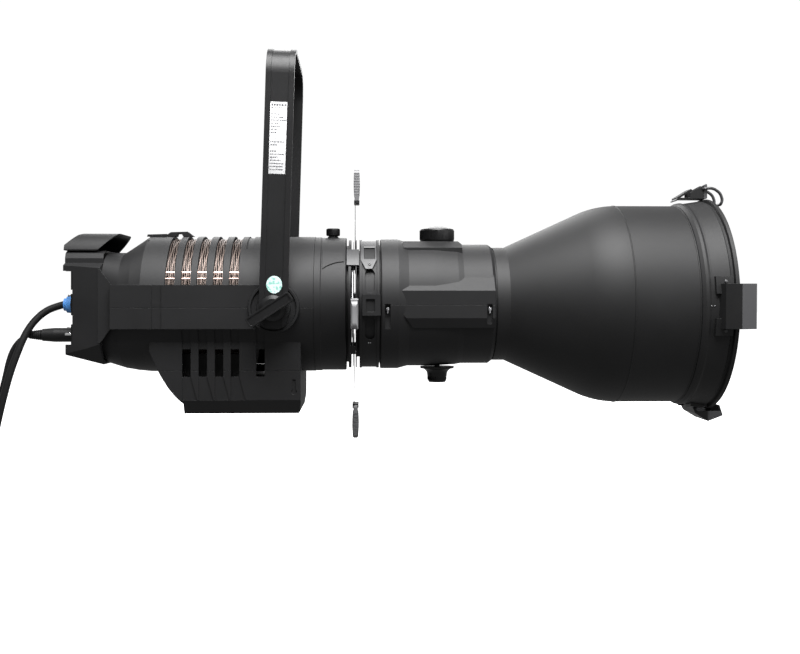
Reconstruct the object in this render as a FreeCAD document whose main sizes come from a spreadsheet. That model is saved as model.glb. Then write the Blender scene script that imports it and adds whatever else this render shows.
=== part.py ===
"""Ellipsoidal spotlight with an LED light engine, a rotating shutter barrel and a wide lens hood.

The lamp is modelled in its own coordinates: x runs forward from the tilt axis, z up from the
optical axis and y away from the side that carries the label. Every node is then placed in the
frame of the whole object, whose origin is the top of the yoke's centre bolt hole.
"""
import FreeCAD, Part
import math
import os
import re
import Sketcher

YOKE_HEIGHT, YOKE_LEAN, PIVOT_Z = 368.0, 1.7, -5.5

SIZES = {
    # The lamp's place under the yoke's bolt hole.
    "pivot_x": -YOKE_HEIGHT * math.sin(math.radians(YOKE_LEAN)),
    "axis_z": -YOKE_HEIGHT * math.cos(math.radians(YOKE_LEAN)) - PIVOT_Z,
    "pivot_z": PIVOT_Z,
    # Yoke: a ridged flat bar bent to a U.
    "yoke_height": YOKE_HEIGHT,
    "yoke_half": 112,
    "yoke_bar": 6,
    "yoke_width": 40,
    "yoke_bend": 40,
    "yoke_foot": 29,
    "yoke_ridge": 7.5,
    "bolt_hole": 6.6,
    "side_hole": 5.25,
    "side_hole_y": 40,
    # Tilt locks.
    "stud": 5,
    "stud_bore": 5.08,
    "boss_radius": 36,
    "boss_out": 105.5,
    "boss_in": 82,
    "hub_radius": 18,
    # Housing.
    "seam_z": PIVOT_Z,
    "seam_gap": 0.15,
    "body_radius": 99.8,
    "wall": 3.2,
    "body_rear": -243,
    "body_round": -187,
    "body_front": 55,
    "rail_out": 101.5,
    "rail_top": 26.7,
    "rail_bottom": -35,
    "rail_rear": -227.2,
    "vent_width": 13,
    "saddle_half": 84,
    "saddle_front": 36.6,
    "saddle_bottom": -94.2,
    "cover_bevel": -136,
    "cover_bottom": -156.6,
    "cover_floor_half": 64,
    # Rear.
    "rear_end": -297,
    "cheek_rear": -283.3,
    "panel_x": -284,
    "socket_proud": 12,
    "panel_half": 56,
    "panel_top": 60,
    "panel_bottom": -62,
    "near_column": -30,
    "far_column": 30,
    "outlet_z": 36,
    "inlet_z": -1,
    "dmx_z": -45,
    "socket_bore": 12,
    # Front ring and shutters.
    "ring_radius": 99.3,
    "ring_rear": 55.3,
    "ring_front": 100.8,
    "knob_x": 80.7,
    "shutter_radius": 95,
    "aperture": 42,
    "blade": 0.8,
    "blade_half": 52,
    "blade_in": 46,
    "blade_out": 165,
    "handle_in": 148.8,
    "handle_out": 199.5,
    "handle_half": 18.5,
    # Gate and barrel.
    "gate_radius": 95.4,
    "gate_rear": 120,
    "gate_front": 148.5,
    "barrel_rear": 150.7,
    "barrel_front": 315.3,
    "barrel_seam": -1.5,
    "focus_x": 236.3,
    "focus_back": 18,
    "focus_forward": 8,
    "focus_stem": 4,
    # Lens tube and hood.
    "tube_radius": 82,
    "tube_rear": 222,
    "hood_radius": 147.2,
    "hood_sheet": 2,
    "rim_radius": 157.5,
    "rim_x": 641.5,
    "lens_rear": 575,
    # Leads.
    "power_lead": 10.5,
    "dmx_lead": 7,
}

doc = FreeCAD.newDocument("EllipsoidalSpotlight")
sheet = doc.addObject("Spreadsheet::Sheet", "Sizes")
nodes = []

for row, (name, size) in enumerate(SIZES.items(), start=1):
    sheet.set(f"A{row}", name)
    sheet.set(f"B{row}", str(round(size, 4)))
    sheet.setAlias(f"B{row}", name)
doc.recompute()


# ---- Helpers: every position and size is a term, a number or an expression of the sheet's names.

def expression(term):
    """The term as an expression, with the sheet's name before each of its aliases."""
    return re.sub(r"[a-z]\w*", lambda m: f"Sizes.{m[0]}" if m[0] in SIZES else m[0], f"{term}")


def number(term):
    return float(sheet.evalExpression(expression(term)))


def bind(thing, path, term):
    thing.setExpression(path, expression(term))


def place(thing, x, y, z):
    for axis, term in zip("xyz", (x, y, z)):
        bind(thing, f"Placement.Base.{axis}", term)


def rotation(axis, degrees):
    return FreeCAD.Rotation(FreeCAD.Vector(*axis), degrees)


FROM_X = {
    "x": rotation((0, 0, 1), 0),
    "y": rotation((0, 0, 1), 90),
    "-y": rotation((0, 0, 1), -90),
    "z": rotation((0, 1, 0), -90),
    "-z": rotation((0, 1, 0), 90),
}


def block(x, y, z):
    """A box between two terms on each axis."""
    box = doc.addObject("Part::Box", "block")
    for side, (low, high) in zip(("Length", "Width", "Height"), (x, y, z)):
        bind(box, side, f"({high}) - ({low})")
    place(box, x[0], y[0], z[0])
    return box


def rod(axis, start, radius, length):
    """A cylinder from its start along an axis."""
    cylinder = doc.addObject("Part::Cylinder", "rod")
    bind(cylinder, "Radius", radius)
    bind(cylinder, "Height", length)
    cylinder.Placement.Rotation = FROM_X[axis] * rotation((0, 1, 0), 90)
    place(cylinder, *start)
    return cylinder


def outline(body, plane, points, offset=0):
    """A closed outline on a body's plane. A point of four terms ends an arc by way of the first two."""
    sketch = body.newObject("Sketcher::SketchObject", "outline")
    support = next(f for f in body.Origin.OriginFeatures if f.Role == f"{plane}_Plane")
    sketch.AttachmentSupport = [(support, "")]
    sketch.MapMode = "FlatFace"
    bind(sketch, ".AttachmentOffset.Base.z", offset)
    ends = [point[-2:] for point in points]
    at = [FreeCAD.Vector(number(u), number(v), 0) for u, v in ends]
    for i, point in enumerate(points):
        if len(point) == 4:
            middle = FreeCAD.Vector(number(point[0]), number(point[1]), 0)
            arc = Part.Arc(at[i - 1], middle, at[i])
            sketch.addGeometry(arc, False)
        else:
            sketch.addGeometry(Part.LineSegment(at[i - 1], at[i]), False)
    for i, (u, v) in enumerate(ends):
        following = (i + 1) % len(ends)
        end = next(p for p in (2, 1) if (sketch.getPoint(i, p) - at[i]).Length < 1e-6)
        start = next(p for p in (1, 2) if (sketch.getPoint(following, p) - at[i]).Length < 1e-6)
        sketch.addConstraint(Sketcher.Constraint("Coincident", i, end, following, start))
        for kind, term, size in (("DistanceX", u, at[i].x), ("DistanceY", v, at[i].y)):
            index = sketch.addConstraint(Sketcher.Constraint(kind, i, end, size))
            bind(sketch, f"Constraints[{index}]", term)
    return sketch


def turned(points, axis="x", start=(0, 0, 0)):
    """A turned piece: an outline of (along, radius) points, revolved about an axis from its start."""
    body = doc.addObject("PartDesign::Body", "turned")
    feature = body.newObject("PartDesign::Revolution", "revolution")
    feature.Profile = outline(body, "XZ", points)
    feature.ReferenceAxis = (feature.Profile[0], ["H_Axis"])
    feature.Angle = 360
    body.Tip = feature
    body.Placement.Rotation = FROM_X[axis]
    place(body, *start)
    return body


def tube(x, outer, inner):
    """A tube along the optical axis between two stations."""
    return turned([(x[0], inner), (x[0], outer), (x[1], outer), (x[1], inner)])


def prism(plane, points, low, high):
    """An outline in the XY, XZ or YZ plane, made thick between two terms on the third axis."""
    body = doc.addObject("PartDesign::Body", "prism")
    pad = body.newObject("PartDesign::Pad", "pad")
    pad.Profile = outline(body, plane, points, f"-({high})" if plane == "XZ" else low)
    bind(pad, "Length", f"({high}) - ({low})")
    body.Tip = pad
    return body


def fuse(*things):
    fusion = doc.addObject("Part::MultiFuse", "fusion")
    fusion.Shapes = list(things)
    return fusion


def cut(base, *tools):
    difference = doc.addObject("Part::Cut", "difference")
    difference.Base = base
    difference.Tool = tools[0] if len(tools) == 1 else fuse(*tools)
    return difference


def common(*things):
    meeting = doc.addObject("Part::MultiCommon", "meeting")
    meeting.Shapes = list(things)
    return meeting


def shaped(label, shape):
    feature = doc.addObject("Part::Feature", label)
    feature.Shape = shape
    return feature


def turn_about_x(thing, degrees):
    """The piece again, turned about the optical axis."""
    thing.Placement = FreeCAD.Placement(FreeCAD.Vector(), rotation((1, 0, 0), degrees))
    return thing


def node(label, *pieces):
    """One named sub-part, placed in the frame of the whole object."""
    part = doc.addObject("Part::Compound", label)
    part.Label = label
    part.Links = list(pieces)
    place(part, "pivot_x", 0, "axis_z")
    nodes.append(part)


# ---- Yoke and tilt locks

def yoke_band(outer, thickness, x):
    """A U of flat bar: its outer face stands in by the first term, and it is this thick."""
    half, top, bend = f"yoke_half - {outer}", f"yoke_height - {outer}", f"yoke_bend - {outer}"
    inside_half, inside_top = f"{half} - {thickness}", f"{top} - {thickness}"
    shoulder, crown = "yoke_half - yoke_bend", "yoke_height - yoke_bend"
    mid = math.sqrt(0.5)
    points = [(f"-({half})", "-yoke_foot"), (f"-({half})", crown)]
    points.append((f"-({shoulder}) - {mid} * ({bend})", f"{crown} + {mid} * ({bend})",
                   f"-({shoulder})", top))
    points += [(shoulder, top)]
    points.append((f"{shoulder} + {mid} * ({bend})", f"{crown} + {mid} * ({bend})", half, crown))
    points += [(half, "-yoke_foot"), (inside_half, "-yoke_foot"), (inside_half, crown)]
    inner = f"({bend} - {thickness})"
    points.append((f"{shoulder} + {mid} * {inner}", f"{crown} + {mid} * {inner}",
                   shoulder, inside_top))
    points += [(f"-({shoulder})", inside_top)]
    points.append((f"-({shoulder}) - {mid} * {inner}", f"{crown} + {mid} * {inner}",
                   f"-({inside_half})", crown))
    points += [(f"-({inside_half})", "-yoke_foot")]
    return prism("YZ", points, f"-({x})", x)


def make_yoke():
    round_end = 14
    corner = round_end * (1 - math.sqrt(0.5))
    half = "yoke_width / 2"
    ends = prism("XZ", [
        (f"-{half}", "yoke_height + 5"), (f"-{half}", f"{round_end} - yoke_foot"),
        (f"{corner} - {half}", f"{corner} - yoke_foot", f"{round_end} - {half}", "-yoke_foot"),
        (f"{half} - {round_end}", "-yoke_foot"),
        (f"{half} - {corner}", f"{corner} - yoke_foot", half, f"{round_end} - yoke_foot"),
        (half, "yoke_height + 5"),
    ], "-yoke_half - 5", "yoke_half + 5")
    bar = common(yoke_band(0, "yoke_bar", half), ends)
    crown = block((-30, 30), (-58, 58), ("yoke_height - 10", "yoke_height + 5"))
    channel = cut(yoke_band(-1, 2.4, f"{half} - yoke_ridge"), crown)
    holes = [rod("y", (0, "-yoke_half - 5", 0), "stud_bore", "2 * yoke_half + 10")]
    for y, radius in ((0, "bolt_hole"), ("side_hole_y", "side_hole"), ("-side_hole_y", "side_hole")):
        holes.append(rod("z", (0, y, "yoke_height - 20"), radius, 40))
    yoke = cut(bar, channel, *holes)
    yoke.Placement.Rotation = rotation((0, 1, 0), YOKE_LEAN)
    place(yoke, 0, 0, "pivot_z")
    node("yoke", yoke)


def lever(sign):
    """The bar of a tilt lock, with a rim round a sunk face, 33 degrees up towards the front."""
    def bar(inset, low, high):
        left, right, side, corner = -39 + inset, 31 - inset, 7.5 - inset, 4 - inset
        diagonal = corner * (1 - math.sqrt(0.5))
        points = [(right - corner, side)]
        points.append((right - diagonal, side - diagonal, right, side - corner))
        points.append((right, corner - side))
        points.append((right - diagonal, diagonal - side, right - corner, -side))
        points.append((left + corner, -side))
        points.append((left + diagonal, diagonal - side, left, corner - side))
        points.append((left, side - corner))
        points.append((left + diagonal, side - diagonal, left + corner, side))
        low, high = sorted((sign * low, sign * high))
        return prism("XZ", points, low, high)

    body = cut(bar(0, 124, 141), bar(2.2, 139.5, 143))
    body.Placement.Rotation = rotation((0, 1, 0), -33)
    place(body, 0, 0, "pivot_z")
    return body


def make_tilt_locks():
    bosses = []
    for side, sign in (("near", -1), ("far", 1)):
        axis = "-y" if sign < 0 else "y"
        hub = turned([(90, 0), (90, "stud"), (112.4, "stud"), (112.4, "hub_radius - 1.5"),
                      (114, "hub_radius"), (121, "hub_radius"), (126, 13), (126, 0)],
                     axis, (0, 0, "pivot_z"))
        node(f"tilt_knob_{side}", fuse(hub, lever(sign)))
        bosses.append(turned([("boss_in", "stud_bore"), ("boss_in", "boss_radius"),
                              ("boss_out - 1", "boss_radius"), ("boss_out", "boss_radius - 1"),
                              ("boss_out", "boss_radius - 4"), ("boss_out - 3", "boss_radius - 5"),
                              ("boss_out - 3", 24), ("boss_out", 23), ("boss_out", "stud_bore")],
                             axis, (0, 0, "pivot_z")))
    node("pivot_bosses", *bosses)


# ---- Housing

def rounded_section(x, top, bottom, half, power, inset):
    """A closed section that goes from squarish to round as its power falls to two."""
    points = []
    for step in range(48):
        angle = 2 * math.pi * step / 48
        c, s = math.cos(angle), math.sin(angle)
        tall = (top if s > 0 else bottom) - inset
        points.append(FreeCAD.Vector(x, (half - inset) * math.copysign(abs(c) ** (2 / power), c),
                                     tall * math.copysign(abs(s) ** (2 / power), s)))
    curve = Part.BSplineCurve()
    curve.interpolate(points, PeriodicFlag=True)
    return Part.Wire([curve.toShape()])


def body_solid(inset, reach):
    """The round of the housing behind its heat sink, which flattens and narrows to the rear cover."""
    radius = number("body_radius")
    stations = [(number("body_rear") - reach, 75, 86.5, 85, 3.2), (-219, 75.2, 94.6, 91.5, 2.8),
                (-203, 87.6, 98, 96, 2.3), (number("body_round"), radius, radius, radius, 2)]
    wires = [rounded_section(*station, inset) for station in stations[:-1]]
    last = Part.makeCircle(radius - inset, FreeCAD.Vector(stations[-1][0], 0, 0),
                           FreeCAD.Vector(1, 0, 0))
    taper = shaped("taper", Part.makeLoft([*wires, Part.Wire([last])], True, True))
    return fuse(taper, rod("x", ("body_round", 0, 0), f"body_radius - {inset}",
                           f"body_front - body_round + {reach}"))


def rails(low, high, recess):
    """The flat rails on both sides, between two heights, with a shallow recess near the rear."""
    pair = []
    for sign in (-1, 1):
        inner, outer = sorted((f"{sign} * 78", f"{sign} * rail_out"), key=number)
        rail = block(("rail_rear", 12), (inner, outer), (low, high))
        face = ("-rail_out - 1", "1.8 - rail_out") if sign < 0 else ("rail_out - 1.8", "rail_out + 1")
        pair.append(cut(rail, block(("-170", "-156"), face, recess)))
    return pair


def boss_holes():
    return [rod("y", (0, "-rail_out - 12", "pivot_z"), "boss_radius + 0.2", "2 * rail_out + 24")]


def skin_limit():
    """What a shallow recess in the round of the housing leaves standing."""
    return rod("x", ("body_rear", 0, 0), "body_radius - 2", "body_front - body_rear")


def make_upper_housing():
    sides = rails("seam_z - 4", "rail_top", ("seam_z - 5", "rail_top + 1"))
    shell = cut(fuse(body_solid(0, 0), *sides), body_solid(3.2, 1))
    vents = []
    for x in (-146, -123.5, -101.6, -78.9, -56.6):
        start = f"{x} - vent_width / 2"
        vents.append(block((start, f"{start} + vent_width"), (-110, 110), ("rail_top", 110)))
    vents.append(cut(block((-42, -33), (-62, 62), (76, 110)), skin_limit()))
    for x, y in ((-186, 40), (-186, -40)):
        vents.append(rod("z", (x, y, 60), 2, 60))
    below = block((-320, 70), (-120, 120), (-120, "seam_z + seam_gap"))
    node("upper_housing", cut(shell, *vents, *boss_holes(), below))


def saddle_outline(inset, bottom):
    return [(-176 + inset, -66.8), (-163.6 + inset, bottom),
            (f"saddle_front - {inset}", bottom), (f"saddle_front - {inset}", -30),
            (-176 + inset, -30)]


def make_lower_housing():
    saddle = prism("XZ", saddle_outline(0, "saddle_bottom"), "-saddle_half", "saddle_half")
    hollow = prism("XZ", saddle_outline(3.2, "-body_radius - 3"),
                   "wall - saddle_half", "saddle_half - wall")
    below = block((-320, 70), (-120, 120), (-120, "seam_z - seam_gap"))
    keel = block((-164, "saddle_front + 0.3"), (-40, 40), (-110, "saddle_bottom"))
    half = cut(fuse(common(body_solid(0, 0), below), saddle), body_solid(3.2, 1), hollow, keel)
    sides = rails("rail_bottom", "seam_z + 4", ("rail_bottom - 1", "seam_z + 5"))
    shell = fuse(half, common(cut(fuse(*sides), body_solid(3.2, 1)), below))
    channels = []
    for sign in (-1, 1):
        for x in (-130, -107, -84.2, -61.8, -26):
            skin = sorted((f"{sign} * (rail_out - 1)", f"{sign} * (saddle_half - 1.8)"), key=number)
            groove = block((x, x + 12), skin, ("saddle_bottom - 1", "rail_bottom"))
            channels.append(cut(groove, skin_limit()))
            through = sorted((f"{sign} * rail_out", f"{sign} * (saddle_half - 8)"), key=number)
            channels.append(block((x, x + 12), through, ("saddle_bottom - 1", -64)))
        notch = sorted((f"{sign} * 64", f"{sign} * 48"), key=number)
        channels.append(block((-213, -199), notch, (-77, -70)))
    node("lower_housing", cut(shell, *channels, *boss_holes()))


def cover_side(inset):
    """The driver cover from the side."""
    top = "saddle_bottom - 0.3" if inset == 0 else "saddle_bottom + 1"
    return [(-163.6 + inset, top), (-158 + inset, -105), (-149.5 + inset, -118.5),
            (-141 + inset, -129), (-132 + inset, -138.2), (-129 + inset, -141),
            (-130 + inset, f"cover_bottom + {inset}"), (33 - inset, f"cover_bottom + {inset}"),
            (35 - inset, f"-153.8 + {inset / 2}"), (f"saddle_front - {inset}", -141.5),
            (f"saddle_front - {inset}", top)]


def cover_section(inset):
    """The driver cover from behind."""
    side, floor = f"saddle_half - {inset}", f"cover_floor_half - {inset / 2}"
    bottom = f"cover_bottom + {inset}"
    return [(f"-({side})", -90), (f"-({side})", "cover_bevel"), (f"-({floor})", bottom),
            (floor, bottom), (side, "cover_bevel"), (side, -90)]


def make_driver_cover():
    def solid(inset):
        return common(prism("XZ", cover_side(inset), -100, 100),
                      prism("YZ", cover_section(inset), -180, 60))

    grooves = []
    for sign in (-1, 1):
        face = sorted((f"{sign} * (saddle_half - 1.6)", f"{sign} * (saddle_half + 5)"), key=number)
        for x in (-130, -107, -84.2, -61.8):
            groove = [(x, -102.8), (x, "cover_bevel"), (x + 21, "cover_bevel"), (x + 12, -102.8)]
            grooves.append(prism("XZ", groove, *face))
        through = sorted((f"{sign} * (saddle_half - 8)", f"{sign} * (saddle_half + 5)"), key=number)
        for x in (-130, -107, -84.2, -61.8, -26):
            grooves.append(block((x, x + 12), through, (-102.8, "saddle_bottom + 1")))
        grooves.append(rod("y" if sign > 0 else "-y", (27.3, face[0] if sign > 0 else face[1], -124),
                           4, 8))
        grooves.append(block((25, 29.6), face, (-124, -107)))
    for y in (-48, 48):
        grooves.append(rod("z", (-110, y, -162), 2.2, 12))
        grooves.append(rod("z", (20, y, -162), 2.2, 12))
    node("driver_cover", cut(solid(0), solid(3), *grooves))


def make_rear_cover():
    side = [("rear_end", 76), (-243.4, 76), (-243.4, -86), ("rear_end + 3.5", -71.5),
            ("rear_end + 3.5", -57), ("cheek_rear", -57), ("cheek_rear", 46), ("rear_end", 46)]
    section = [(0, 76), (58, 76), (67, 72), (70, 65), (70, 58), (92, 50.5), (92, -56), (88, -62),
               (60, -93), (0, -93)]
    section += [(-y, z) for y, z in section[-2:0:-1]]
    plan = [("rear_end", -80), (-243, -92), (-243, 92), ("rear_end", 80)]
    inside = [(0, 72.8), (57, 72.8), (64, 70), (66.8, 64), (66.8, 50), (81, 46.5), (81, -54),
              (77, -60), (58, -88), (0, -88)]
    inside += [(-y, z) for y, z in inside[-2:0:-1]]
    floor = [(-310, 80), (-240, 80), (-240, -83), (-310, -64)]
    body = common(prism("XZ", side, -100, 100), prism("YZ", section, -310, -240),
                  prism("XY", plan, -100, 100))
    hollow = common(prism("YZ", inside, -311, -239), prism("XZ", floor, -99, 99))
    tongues = []
    for sign in (-1, 1):
        reach = sorted((f"{sign} * 88.6", f"{sign} * 92"), key=number)
        tongues.append(prism("XZ", [(-246, 49), (-243.4, 49), (-227.8, 27.5), (-227.8, -34),
                                    (-239.8, -51), (-243.4, -55), (-246, -55)], *reach))
    holes = [rod("z", (x, y, 70), 2, 8) for x in (-255, -290) for y in (-20, 20)]
    node("rear_cover", cut(fuse(cut(body, hollow), *tongues), body_solid(-0.2, 0), *holes))


def make_rear_cowl():
    """The hooded air intake on the rear cover, open towards the front."""
    def solid(inset, reach):
        side = [(-300 + inset, 76.3 - reach), (-300 + inset, 84), (-284 + inset, 99.6 - inset),
                (-278 + inset, 102 - inset), (-227 + reach, 102 - inset),
                (-253 + reach, 76.3 - reach)]
        shoulder, top = 34 - inset / 2, 102 - inset
        section = [(66 - inset, 70), (66 - inset, 78), (56 - 0.8 * inset, 93.5 - inset, shoulder, top),
                   (-shoulder, top), (0.8 * inset - 56, 93.5 - inset, inset - 66, 78),
                   (inset - 66, 70)]
        return common(prism("XZ", side, -70, 70), prism("YZ", section, -310, -220))

    node("rear_cowl", cut(solid(0, 0), solid(2.4, 1)))


def make_rear_panel():
    bores = []
    for y, z in (("near_column", "outlet_z"), ("near_column", "inlet_z"), ("near_column", "dmx_z"),
                 ("far_column", "dmx_z")):
        bores.append(rod("x", ("panel_x - 5", y, z), "socket_bore + 0.2", 15))
    bores.append(rod("x", ("panel_x - 5", "far_column", -21), 6.7, 15))
    bores.append(block(("panel_x - 5", "panel_x + 10"), (12, 48), (30, 52)))
    for y in button_columns():
        bores.append(rod("x", ("panel_x - 5", y, 12), 3.5, 15))
    plate = block(("panel_x", "panel_x + 2.5"), ("-panel_half", "panel_half"),
                  ("panel_bottom", "panel_top"))
    node("rear_panel", cut(plate, *bores))
    pane = block(("panel_x - 0.6", "panel_x + 3"), (12.1, 47.9), (30.1, 51.9))
    node("display_window", pane)


def button_columns():
    return [15 + 10 * i for i in range(4)]


def make_menu_buttons():
    for i, y in enumerate(button_columns(), start=1):
        cap = turned([("panel_x - 2.5", 0), ("panel_x - 2.5", 2.6), ("panel_x - 2", 3.1),
                      ("panel_x + 3.5", 3.1), ("panel_x + 3.5", 4.6), ("panel_x + 4.5", 4.6),
                      ("panel_x + 4.5", 0)], "x", (0, y, 12))
        node(f"menu_button_{i}", cap)


def socket(y, z):
    """A flanged chassis socket, its barrel through the panel and its mouth towards the rear."""
    flange = block(("panel_x - socket_proud", "panel_x"), (f"{y} - 13", f"{y} + 13"),
                   (f"{z} - 15.5", f"{z} + 15.5"))
    barrel = rod("x", ("panel_x - 1", y, z), "socket_bore - 0.1", 22.5)
    mouth = rod("x", ("panel_x - socket_proud - 1", y, z), 9.8, 29)
    screws = [rod("x", ("panel_x - socket_proud - 1", f"{y} + {sign} * 9.5", f"{z} + {sign} * 12"),
                  1.6, 3)
              for sign in (-1, 1)]
    return cut(fuse(flange, barrel), mouth, *screws)


def make_sockets():
    node("power_sockets", socket("near_column", "outlet_z"), socket("near_column", "inlet_z"))
    node("dmx_sockets", socket("near_column", "dmx_z"), socket("far_column", "dmx_z"))
    node("fuse_holder", turned([("panel_x - 9", 0), ("panel_x - 9", 7), ("panel_x - 7.5", 8.2),
                                ("panel_x", 8.2), ("panel_x", 6.5), ("panel_x + 20", 6.5),
                                ("panel_x + 20", 0)], "x", (0, "far_column", -21)))


# ---- Light engine inside the housing

def convex_lens(x, radius, edge, rise):
    """A lens that is flat at the rear and domed at the front."""
    ball_radius = (radius ** 2 + rise ** 2) / (2 * rise)
    ball = doc.addObject("Part::Sphere", "ball")
    bind(ball, "Radius", ball_radius)
    place(ball, f"{x} + {edge + rise - ball_radius}", 0, 0)
    return common(rod("x", (x, 0, 0), radius, edge + rise), ball)


# The y and z of each pipe on the far side, and its radius. The near side mirrors them.
PIPES = (82.6, 43.5, 3), (87.9, 35.4, 1.6), (46, 18, 3), (30, -30, 3)
FIN_PITCH, FIN_COUNT = 3.2, 35


def make_light_engine():
    pipes, channels = [], []
    for y, z, radius in PIPES:
        for side in (-y, y):
            pipes.append(rod("x", (-166, side, z), radius, 118))
            channels.append(rod("x", (-168, side, z), radius + 0.05, 122))
    starts = [-162 + FIN_PITCH * i for i in range(FIN_COUNT)]
    stack = [tube((x, x + 0.8), 94.6, 16) for x in starts]
    room = block((-170, -50), (-100, 100), (-70, 100))
    fins = common(cut(fuse(*stack), *channels), room)
    node("cooling_fins", fins)
    node("heat_pipes", *pipes)
    plate = cut(rod("x", (-48, 0, 0), 92, 10), rod("x", (-40, 0, 0), 34, 6))
    node("led_engine", plate, rod("x", (-40, 0, 0), 30, 3))
    node("condenser_lens", convex_lens(-24, 46, 6, 10))
    node("condenser_holder", cut(turned([(-38, 60), (-38, 92), (-35, 92), (-35, 63), (-14, 52),
                                         (-14, 46.2), (-26.5, 46.2), (-26.5, 40), (-29.5, 40),
                                         (-29.5, 50), (-33, 60)]), *boss_holes()))


def make_fan():
    frame = cut(block((-224, -204), (-58, 58), (-56, 56)), rod("x", (-226, 0, 0), 54, 24))
    hub = turned([(-224, 0), (-224, 14), (-220, 14), (-220, 0)])
    struts = [block((-224, -221.5), (-57, 57), (-2.5, 2.5)),
              block((-224, -221.5), (-2.5, 2.5), (-55, 55))]
    node("fan_frame", fuse(frame, hub, *struts))
    rotor = [turned([(-219.4, 0), (-219.4, 18), (-206, 18), (-205, 17), (-205, 0)])]
    for i in range(7):
        blade = prism("YZ", [(16, -4), (51, -14), (52.5, -4), (50, 8), (16, 4)], -213, -211)
        blade.Placement = FreeCAD.Placement(FreeCAD.Vector(), rotation((1, 0, 0), 360 * i / 7))
        rotor.append(blade)
    node("fan_rotor", fuse(*rotor))


def make_driver_unit():
    case = block((-118, 22), (-52, 52), (-148, -104))
    filter_box = block((-134, -50), (-52, 52), (-104, -72))
    board = block((-258, -256), (-48, 48), (-54, 52))
    node("driver_unit", fuse(case, filter_box), board)


def make_safety_bridge():
    """The arched loop on top of the housing that takes a safety cable, and its raised base."""
    lift = "body_radius"
    arch = prism("XZ", [(-164.5, lift), (-163, 103.6), (-159, 106.2), (-134.5, 107),
                        (-125.5, "body_radius + 0.3"), (-129, lift)], -8, 8)
    eye = prism("XZ", [(-151, 98), (-149.5, 103.8), (-143, 103.8), (-140.5, 98)], -9, 9)
    base = prism("XZ", [(-194, 94), (-192, 102.3), (-164, 103.2), (-164, 94)], -14, 14)
    round_top = rod("x", (-200, 0, 0), "body_radius + 0.02", 40)
    node("safety_bridge", fuse(cut(arch, eye), cut(base, round_top)))


# ---- Front ring and shutters

def make_front_ring():
    shell = turned([("ring_rear", "body_radius - 3.4"), ("ring_rear", "ring_radius"),
                    (64, "ring_radius"), (65.5, "ring_radius - 0.9"),
                    ("ring_front - 1", "ring_radius - 0.9"), ("ring_front", "ring_radius - 1.9"),
                    ("ring_front", 84), ("ring_front - 4", 84), ("ring_front - 4", 93.4),
                    (46, 93.4), (46, "body_radius - 3.4")])
    pads = []
    for sign in (-1, 1):
        reach = sorted((f"{sign} * 40", f"{sign} * 110"), key=number)
        wedge = prism("XZ", [(67, 79), (82, 74.6, 98, 73.5), (98, 60.5),
                             (84, 58.5, 67, 50)], *reach)
        pads.append(common(tube((66, 98.5), "ring_radius + 0.4", "ring_radius - 2"), wedge))
    seat = rod("z", ("knob_x", 0, 92), 8, 8)
    hole = rod("z", ("knob_x", 0, 80), 3.08, 30)
    node("front_ring", cut(fuse(shell, *pads, seat), hole))
    node("barrel_lock_knob", turned([(90, 0), (90, 3), (100.4, 3), (100.4, 7), (101.5, 7),
                                     (101.5, 9.2), (102.3, 10), (111.4, 10), (112.3, 9.2),
                                     (112.3, 0)], "z", ("knob_x", 0, 0)))


BLADE_PLANES = {"far": 108.3, "near": 109.9, "bottom": 111.6, "top": 113.2}
HANDLE_STARTS = {"far": 107.4, "near": 108.9, "bottom": 109.7, "top": 111.5}
SHUTTER_TURNS = {"top": 0, "far": -90, "bottom": 180, "near": 94}


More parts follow.
